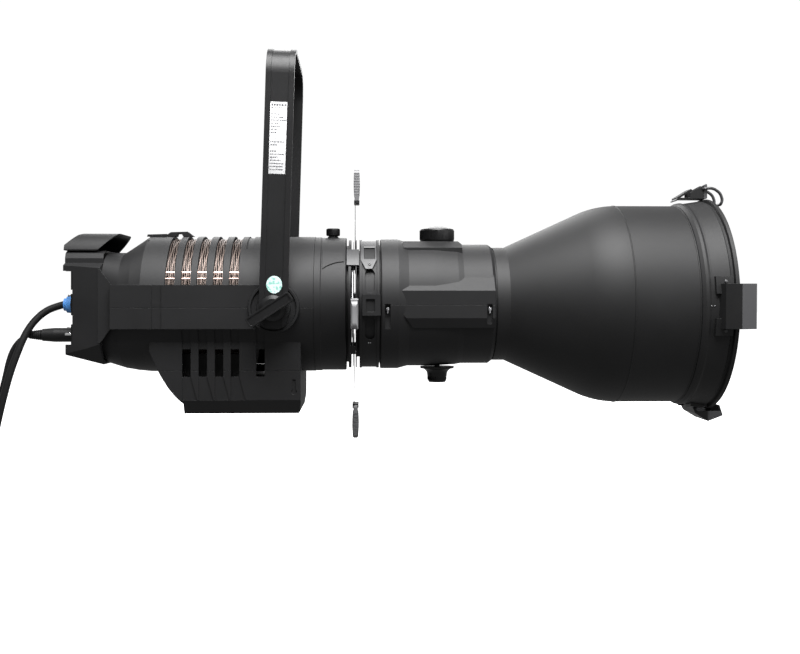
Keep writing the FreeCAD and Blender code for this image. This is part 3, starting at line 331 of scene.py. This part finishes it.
def arc_bar(form, x, radii, angles, steps=12):
    """A bar bent round the optical axis, by degrees from straight up, towards the far side."""
    rows = []
    for step in range(steps + 1):
        angle = math.radians(angles[0] + (angles[1] - angles[0]) * step / steps)
        corners = [(x[0], radii[0]), (x[1], radii[0]), (x[1], radii[1]), (x[0], radii[1])]
        rows.append([form.verts.new((a, r * math.sin(angle), r * math.cos(angle)))
                     for a, r in corners])
    skin(form, rows)


# ---- Small pieces

def screw(form, place, radius, height):
    """A pan head with a hexagon socket."""
    outline = [(-0.5, 0), (-0.5, radius), (height * 0.5, radius), (height, radius * 0.8),
               (height, radius * 0.45), (height * 0.2, radius * 0.42), (height * 0.2, 0)]
    lathe(form, outline, place, 18)


def screws(name, places, radius, height, body, finish=SCREW):
    def build(form):
        for start, axis in places:
            screw(form, frame_on(start, axis), radius, height)
    piece(name, mesh_of(name, build), finish, body)


def radial(x, z, radius, side=-1):
    """A place on a round part, seen from the side, and the direction straight out of it."""
    y = side * math.sqrt(radius ** 2 - z ** 2)
    return (x, y, z), (0, y / radius, z / radius)


def knurl(name, body, x, z, radius, height, count, size=0.7):
    """Upright ridges round a knob whose axis is upright."""
    def build(form):
        for step in range(count):
            angle = 2 * math.pi * step / count
            c, s = math.cos(angle), math.sin(angle)
            place = Matrix.Translation((x + radius * c, radius * s, z))
            place = place @ Matrix.Rotation(angle, 4, "Z")
            bar(form, (size * 0.7, size, height / 2), place, size * 0.5)
    piece(name, mesh_of(name, build), BLACK["knob"], body)


def on_yoke(u, y, w):
    """The place u forwards and w up along the leaning yoke, from the tilt axis."""
    c, s = math.cos(YOKE_LEAN), math.sin(YOKE_LEAN)
    return Matrix.Translation((u * c + w * s, y, PIVOT_Z - u * s + w * c)) @ \
        Matrix.Rotation(YOKE_LEAN, 4, "Y")


def make_label():
    """A rating label of printed rows that say nothing, and a round inspection sticker."""
    face, centre, half = -110.6, 236.6, (11.6, 50)
    paper = mesh_of("label", lambda form: bar(form, (half[0], 0.15, half[1]),
                                              on_yoke(-0.5, face - 0.05, centre), 0.12))
    piece("rating_label", paper, PAPER, "yoke")
    dice = random.Random(5)

    def print_rows(form):
        row, margin, pitch, gap = half[1] - 4, 1.5, 4.3, 0.7
        while row > -half[1] + 3:
            heading = row > half[1] - 6
            tall = 1.7 if heading else 0.8
            if dice.random() > 0.12:
                start, full = -half[0] + margin, half[0] - margin
                stop = full if heading else dice.uniform(-3, full)
                while start < stop:
                    wide = dice.uniform(0.8, 3.2)
                    middle = min(start + wide / 2, stop)
                    place = on_yoke(middle - 0.5, face - 0.22, centre + row)
                    bar(form, (wide / 2, 0.03, tall), place, 0.02)
                    start += wide + gap
            row -= pitch
    piece("label_print", mesh_of("label_print", print_rows), INK, "yoke")

    def disc(form):
        lathe(form, [(0, 0), (0, 11), (0.25, 10.8), (0.25, 0)],
              on_yoke(0.5, face + 0.05, 32.5) @ Matrix.Diagonal((1, 1, 1.12, 1))
              @ Matrix.Rotation(-math.pi / 2, 4, "Z"))
    piece("round_sticker", mesh_of("round_sticker", disc), MINT, "yoke")


def make_grips():
    """Ribs and a dark inner collar on each shutter handle."""
    starts = {"far": 107.4, "near": 108.9, "bottom": 109.7, "top": 111.5}
    turns = {"top": 0, "far": -90, "bottom": 180, "near": 94}
    for name, turn in turns.items():
        middle = starts[name] + 4.4
        turned = Matrix.Rotation(math.radians(turn), 4, "X")

        def ribs(form):
            for step in range(9):
                reach = 163 + 3.8 * step
                deep = 4.1 + 0.5 * math.sin(math.pi * step / 8)
                bar(form, (deep, 18.7, 0.95), turned @ Matrix.Translation((middle, 0, reach)), 0.6)

        def collar(form):
            bar(form, (4, 16.2, 2.6), turned @ Matrix.Translation((middle, 0, 151.2)), 0.8)
        # The near handle's ribs take the lighter copy of the grip, a painted highlight; the others
        # keep the grip's own colour.
        finish = GRIP_PAINTED_LIT if name == "near" else GRIP
        piece(f"grip_ribs_{name}", mesh_of("ribs", ribs), finish, f"shutter_{name}")
        piece(f"grip_collar_{name}", mesh_of("collar", collar), BLACK["knob"], f"shutter_{name}")


def make_fin_edges():
    """The wavy folded edges of the cooling fins, which show in the five upper vents."""
    def build(form):
        inner, outer, half = 94.7, 96.2, 0.25
        section = ((-half, inner), (half, inner), (half, outer), (-half, outer))
        for vent in VENTS:
            for ply in range(6):
                middle = vent - 5 + 2 * ply
                for side in (-1, 1):
                    rows = []
                    for step in range(61):
                        angle = math.radians(4 + 1.16 * step)
                        x = middle + 0.8 * math.sin(10 * angle + 1.7 * ply)
                        across, up = side * math.sin(angle), math.cos(angle)
                        rows.append([form.verts.new((x + dx, r * across, r * up))
                                     for dx, r in section])
                    skin(form, rows)
    piece("fin_edges", mesh_of("fin_edges", build), FIN_EDGE, "lamp")


def make_knob_details():
    knurl("focus_knurl", "focus_top", FOCUS_KNOB_X, 102.8, 25.3, 13, 72)
    knurl("lower_knurl", "focus_bottom", FOCUS_KNOB_X, -110, 14, 7, 36, 0.5)
    knurl("lock_knurl", "barrel_lock", 80.7, 106.8, 9.8, 8, 32, 0.5)


def make_shutter_blocks():
    """The two bearing blocks that bridge the shutter gap beside the top blade."""
    def build(form):
        for low, high in ((-55, -35.5), (35.5, 55)):
            arc_bar(form, (101.6, 119.4), (91, 96.8), (low, high))
    piece("shutter_blocks", mesh_of("shutter_blocks", build), BLOCK_GREY, "barrel")


def make_gate_details():
    screws("clip_screw", [radial(134.2, 56.5, 97.1)], 2.4, 1.2, "barrel", BLACK_STEEL)
    pair = [radial(x, -55.4, 94.2, side) for x in (132.9, 135.7) for side in (-1, 1)]
    screws("gate_screws", pair, 0.8, 0.4, "barrel")


def make_front_details():
    rivets = [radial(x, -2.2, 151.2, side) for x in (603.5, 607) for side in (-1, 1)]
    screws("band_rivets", rivets, 0.9, 0.7, "lens")

    def bead(form):
        for x, radius in ((500, 146.9), (590.6, 147.0)):
            lathe(form, [(x - 1.2, radius), (x - 0.8, radius + 0.7), (x, radius + 1),
                         (x + 0.8, radius + 0.7), (x + 1.2, radius)],
                  Matrix.Identity(4), 128)
    piece("hood_beads", mesh_of("hood_beads", bead), BLACK["sheet"], "lens")


def make_plug_details():
    """The data plug's ribbed boot, a silver bar on its near side that is a painted reflection of
    its shell's glint, its latch, and the power plug's latch.
    """
    def boot(form):
        for step in range(6):
            x = -342.5 - 3 * step
            radius = 7.3 - 0.42 * step
            lathe(form, [(x - 0.9, radius - 0.6), (x - 0.6, radius + 0.5), (x + 0.6, radius + 0.5),
                         (x + 0.9, radius - 0.6)], frame_on(DATA_PLUG_AXIS, (1, 0, 0)), 32)
    piece("data_boot_ribs", mesh_of("data_boot_ribs", boot), BLACK["rubber"], "lamp")

    def painted_glint_and_latch(form):
        # A thin silver bar laid where the shell's glint shows: a painted reflection, not a part of
        # the plug.
        bar(form, (4.6, 0.9, 1.8), Matrix.Translation((-300.6, -40.2, -43.6)), 0.5)
        bar(form, (3.5, 2.2, 1), Matrix.Translation((-301, -30, -34.6)), 0.4)
    piece("data_plug_painted_glint_and_latch", mesh_of("data_plug_painted_glint_and_latch", painted_glint_and_latch), SILVER, "lamp")

    def latch(form):
        bar(form, (3.2, 3.2, 1.5), Matrix.Translation((-299.8, -30, 12)), 0.6)
    piece("power_latch", mesh_of("power_latch", latch), SCREW, "lamp")


def make_socket_details():
    """Contacts in the free sockets, and screws in every socket's flange and the panel."""
    def contacts(form):
        for y, z in FREE_SOCKETS:
            for angle in (90, 210, 330):
                turn = math.radians(angle)
                start = (0, y + 4 * math.cos(turn), z + 4 * math.sin(turn))
                lathe(form, [(-280, 0), (-279.6, 1), (-268, 1), (-268, 0)],
                      frame_on(start, (1, 0, 0)), 16)
    piece("socket_contacts", mesh_of("socket_contacts", contacts), GOLD, "lamp")
    heads = []
    for y, z in SOCKETS:
        for sign in (-1, 1):
            heads.append(((REAR_FACE, y + sign * 9.5, z + sign * 12), (-1, 0, 0)))
    screws("socket_screws", heads, 1.5, 0.8, "lamp")
    corners = [((-284, sy * 50, sz), (-1, 0, 0)) for sy in (-1, 1) for sz in (-57, 55)]
    screws("panel_screws", corners, 2.4, 1.2, "lamp", BLACK_STEEL)


def make_housing_screws():
    places = [((-255, y, 75.8), (0, 0, 1)) for y in (-52, 52)]
    for x in (-110, 20):
        places += [((x, y, -155.2), (0, 0, -1)) for y in (-48, 48)]
    screws("housing_screws", places, 1.9, 1, "lamp", BLACK_STEEL)


def make_details():
    for make in (make_label, make_grips, make_fin_edges, make_knob_details, make_shutter_blocks,
                 make_gate_details, make_front_details, make_plug_details, make_socket_details,
                 make_housing_screws):
        make()


# ---- Leads

POWER_ROUTE = [(-309.5, -30, -1), (-325, -31, -5.1), (-338.7, -34, -13.4),
               (-349.8, -38, -24.9), (-358.3, -42, -38.5), (-364.5, -46, -53.2),
               (-370.3, -49, -70.2), (-377.6, -51, -91.4), (-385, -52, -117.5),
               (-394.4, -51, -155), (-403, -49, -194), (-406, -49, -228)]
POWER_TAIL = [(-502, -49, -293), (-516, -49, -293.5), (-531, -49, -293.5)]
DMX_ROUTE = [(-360.6, -30, -45), (-370, -30.5, -50.3), (-378, -31, -58.7), (-384.5, -31, -70),
             (-389.5, -30.5, -85), (-393.6, -30, -103.5), (-400, -29, -128), (-407, -27, -158),
             (-411, -26, -192), (-412, -25.5, -222)]
DMX_TAIL = [(-484, -26, -262.5), (-496, -26, -263), (-508, -26, -263)]


def coil_turns(centre, radius, lay, strands, first, last, start_phase):
    """Points along a hanging coil, from one angle to another; each turn lies beside the last."""
    points = []
    points_apart = 22.5
    steps = round((first - last) / points_apart)
    for step in range(steps + 1):
        angle = first + (last - first) * step / steps
        phase = math.radians(start_phase + (first - angle) / strands)
        reach = radius + lay * math.cos(phase)
        turn = math.radians(angle)
        points.append((centre[0] + reach * math.cos(turn), centre[1] + lay * math.sin(phase),
                       centre[2] + reach * math.sin(turn)))
    return points


def lead(name, points, diameter):
    curve = bpy.data.curves.new(name, "CURVE")
    curve.dimensions = "3D"
    curve.bevel_depth = diameter * MM / 2
    curve.bevel_resolution = 5
    curve.resolution_u = 8
    curve.use_fill_caps = True
    spline = curve.splines.new("NURBS")
    spline.points.add(len(points) - 1)
    for control, point in zip(spline.points, points):
        control.co = (*at(*point), 1)
    spline.order_u = 3
    spline.use_endpoint_u = True
    return piece(name, curve, BLACK["rubber"], "lamp",
                 (f"{name}_cord", f"{name}_coil"))


power_turns = coil_turns((-464, -49, -232), 55, 7.5, 4, -18, -1176, 50)
power = lead("power", POWER_ROUTE + power_turns + POWER_TAIL, 10.5)
dmx_turns = coil_turns((-452, -26, -224), 37.5, 7, 6, -18, -1910, 40)
dmx = lead("dmx", DMX_ROUTE + dmx_turns + DMX_TAIL, 7)


# ---- Stage, light and camera

def floor_finish():
    """Plain pale paper, with a glow that makes it as white as the backdrop it meets."""
    floor = surface("floor", (0.93, 0.93, 0.93), 0.8, mottle=0.01, depth=0.0)
    shader = floor.node_tree.nodes["Principled BSDF"]
    shader.inputs["Emission Color"].default_value = (1, 1, 1, 1)
    shader.inputs["Emission Strength"].default_value = 0.85
    return floor


def make_stage():
    floor_mesh = bpy.data.meshes.new("floor")
    side, low = 30, cad_box[0].z - 0.06
    floor_mesh.from_pydata([(-side, -side, low), (side, -side, low), (side, side, low),
                            (-side, side, low)], [], [(0, 1, 2, 3)])
    floor_mesh.materials.append(floor_finish())
    floor = bpy.data.objects.new("floor", floor_mesh)
    floor.visible_diffuse = floor.visible_glossy = False  # the fill light is set by the world
    bpy.context.scene.collection.objects.link(floor)


def make_lights():
    world = bpy.data.worlds.new("studio")
    bpy.context.scene.world = world
    world.use_nodes = True
    tree = world.node_tree
    # The backdrop is white to the camera, and lights the lamp less, as a studio's far wall does.
    seen = tree.nodes["Background"]
    seen.inputs["Color"].default_value = (1, 1, 1, 1)
    seen.inputs["Strength"].default_value = 1.02
    fill = tree.nodes.new("ShaderNodeBackground")
    fill.inputs["Strength"].default_value = 0.5
    ray = tree.nodes.new("ShaderNodeLightPath").outputs["Is Camera Ray"]
    choice = tree.nodes.new("ShaderNodeMixShader")
    for start, socket in ((ray, 0), (fill.outputs[0], 1), (seen.outputs[0], 2)):
        tree.links.new(start, choice.inputs[socket])
    tree.links.new(choice.outputs[0], tree.nodes["World Output"].inputs["Surface"])
    aim = at(180, 0, 0)
    for name, place, size, power_w in (("key", (0.25, -1.0, 1.6), 1.7, 260),
                                       ("front", (1.7, -1.0, 0.2), 0.8, 12),
                                       ("back", (0.0, 1.6, 0.9), 1.4, 30)):
        light = bpy.data.lights.new(name, "AREA")
        light.size = size
        light.energy = power_w
        holder = bpy.data.objects.new(name, light)
        holder.location = place
        holder.rotation_euler = (aim - Vector(place)).to_track_quat("-Z", "Y").to_euler()
        bpy.context.scene.collection.objects.link(holder)


def make_camera():
    yaw, distance = math.radians(2.2), 1.59
    camera = bpy.data.objects.new("camera", bpy.data.cameras.new("camera"))
    camera.data.lens = 47.7
    camera.data.sensor_width = 36
    camera.data.shift_y = -27 / 800  # pixels of the photo's 800
    camera.data.clip_start, camera.data.clip_end = 0.05, 100
    view = Vector((math.sin(yaw), math.cos(yaw), 0))
    camera.location = at(180.7, 0, 5.7) - distance * view
    camera.rotation_euler = (math.pi / 2, 0, -yaw)
    bpy.context.scene.collection.objects.link(camera)
    bpy.context.scene.camera = camera
    bpy.context.scene.view_settings.view_transform = "Standard"


make_details()
make_stage()
make_lights()
make_camera()
